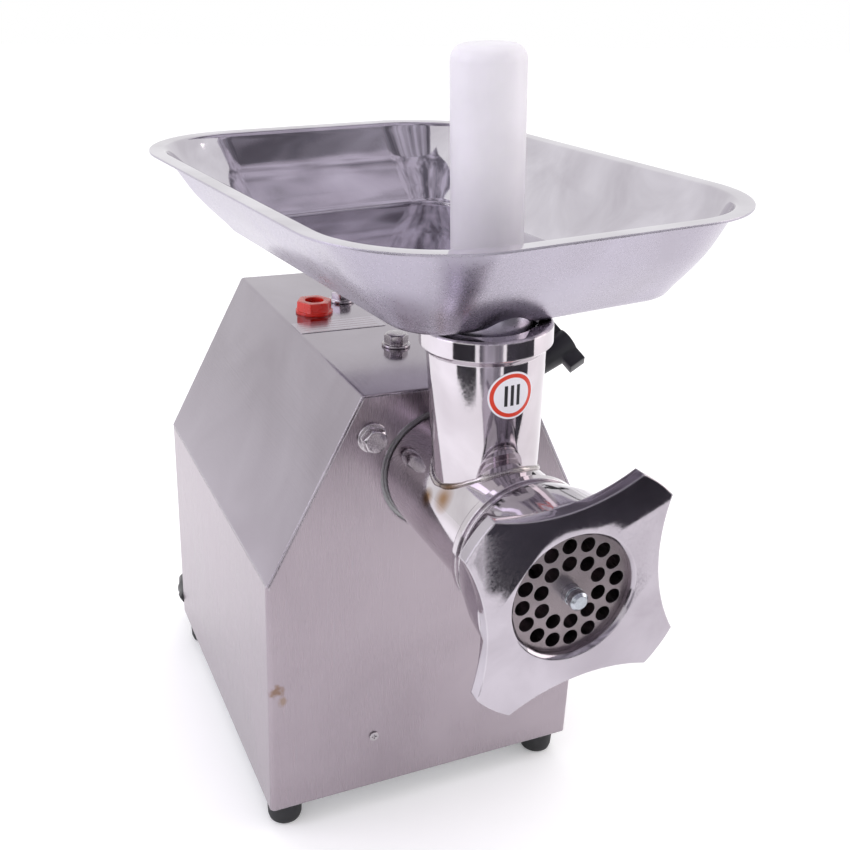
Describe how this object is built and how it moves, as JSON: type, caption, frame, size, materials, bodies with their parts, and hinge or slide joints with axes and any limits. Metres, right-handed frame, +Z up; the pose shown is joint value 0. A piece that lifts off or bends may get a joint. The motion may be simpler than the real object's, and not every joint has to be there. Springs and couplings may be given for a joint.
{
  "type": "electric meat grinder",
  "caption": "Countertop electric meat grinder: sloped steel casing with geared motor, clamped grinding head, auger, knife, perforated plate, lobed ring nut, hopper tray and pusher.",
  "frame": {"origin": "centre of the four feet on the surface they stand on", "axes": "+Z up, -Y out of the grinder's outlet, +X to the right seen from the outlet"},
  "size_m": [0.2729, 0.4286, 0.4802],
  "materials": {
    "casing_steel": "satin",
    "zinc_plate": "satin",
    "foot_rubber": "matt",
    "bolt_steel": "bright",
    "label_film": "satin",
    "switch_red": "gloss",
    "button_red": "gloss",
    "black_plastic": "satin",
    "cast_aluminium": "as cast",
    "nut_metal": "polished face, matt sides",
    "gear_steel": "ground",
    "bush_bronze": "satin",
    "laminations": "matt",
    "copper": "varnished",
    "fan_plastic": "satin",
    "cowl_paint": "satin",
    "head_steel": "polished",
    "auger_steel": "as cast, tinned",
    "washer_plastic": "matt",
    "tool_steel": "ground",
    "tray_steel": "mirror polished",
    "pusher_plastic": "translucent satin"
  },
  "bodies": {
    "machine": {"front_wrap": "casing_steel", "top_cover": "casing_steel", "rear_panel": "casing_steel", "base_plate": "zinc_plate", "foot_front_left": "foot_rubber", "foot_front_right": "foot_rubber", "foot_rear_left": "foot_rubber", "foot_rear_right": "foot_rubber", "foot_screws": "bolt_steel", "panel_screws": "bolt_steel", "top_bolts": "bolt_steel", "front_bolts": "bolt_steel", "label_plate": "label_film", "switch_cap": "switch_red", "switch_body": "black_plastic", "cable_gland": "black_plastic", "gland_nut": "black_plastic", "gearbox_housing": "cast_aluminium", "gearbox_cover": "cast_aluminium", "cover_bolts": "bolt_steel", "oil_seal": "foot_rubber", "output_bearings": "gear_steel", "idler_bushes": "bush_bronze", "motor_bearings": "gear_steel", "stator_core": "laminations", "stator_windings": "copper", "motor_housing": "cast_aluminium", "front_bracket": "cast_aluminium", "rear_bracket": "cast_aluminium", "tie_bolts": "bolt_steel", "fan_cowl": "cowl_paint", "motor_cradle": "zinc_plate", "capacitor": "fan_plastic", "capacitor_bracket": "zinc_plate", "terminal_block": "fan_plastic"},
    "button": {"switch_button": "button_red"},
    "clamp": {"clamp_screw": "bolt_steel", "clamp_knob": "black_plastic"},
    "head": {"head_body": "head_steel", "grinder_plate": "tool_steel"},
    "auger": {"auger": "auger_steel", "auger_stud": "bolt_steel", "auger_washer": "washer_plastic", "knife": "tool_steel"},
    "nut": {"ring_nut": "nut_metal"},
    "tray": {"tray_pan": "tray_steel", "tray_spout": "tray_steel"},
    "pusher": {"pusher": "pusher_plastic"},
    "drive": {"output_shaft": "gear_steel", "output_gear": "gear_steel"},
    "idler": {"idler_shaft": "gear_steel", "idler_gear": "gear_steel"},
    "rotor": {"motor_shaft": "gear_steel", "rotor_core": "laminations", "cooling_fan": "fan_plastic"}
  },
  "joints": [
    {"name": "rotor_spin", "type": "hinge", "parent": "machine", "child": "rotor", "pos_m": [0, 0, 0.12525], "axis": [0, -1, 0], "continuous": true},
    {"name": "idler_spin", "type": "hinge", "parent": "machine", "child": "idler", "pos_m": [0, 0, 0.18525], "axis": [0, -1, 0], "continuous": true},
    {"name": "output_spin", "type": "hinge", "parent": "machine", "child": "drive", "pos_m": [0, 0, 0.2415], "axis": [0, -1, 0], "continuous": true},
    {"name": "head_slide", "type": "slide", "parent": "machine", "child": "head", "axis": [0, -1, 0], "range_m": [0, 0.07]},
    {"name": "auger_spin", "type": "hinge", "parent": "head", "child": "auger", "pos_m": [0, -0.178, 0.2415], "axis": [0, -1, 0], "continuous": true},
    {"name": "nut_turn", "type": "hinge", "parent": "head", "child": "nut", "pos_m": [0, -0.24, 0.2415], "axis": [0, -1, 0], "continuous": true},
    {"name": "tray_lift", "type": "slide", "parent": "head", "child": "tray", "axis": [-0.0576, 0, 0.9983], "range_m": [0, 0.05]},
    {"name": "pusher_lift", "type": "slide", "parent": "head", "child": "pusher", "axis": [-0.0576, 0, 0.9983], "range_m": [0, 0.2]},
    {"name": "clamp_turn", "type": "hinge", "parent": "machine", "child": "clamp", "pos_m": [0, -0.092, 0.2415], "axis": [0.866, 0, 0.5], "continuous": true},
    {"name": "switch_press", "type": "slide", "parent": "machine", "child": "button", "axis": [0, 0, -1], "range_m": [0, 0.0024], "stiffness_N_per_m": 800}
  ],
  "couplings": [
    {"joint": "idler_spin", "follows": "rotor_spin", "ratio": -0.25},
    {"joint": "output_spin", "follows": "rotor_spin", "ratio": 0.090909},
    {"joint": "auger_spin", "follows": "rotor_spin", "ratio": 0.090909}
  ]
}
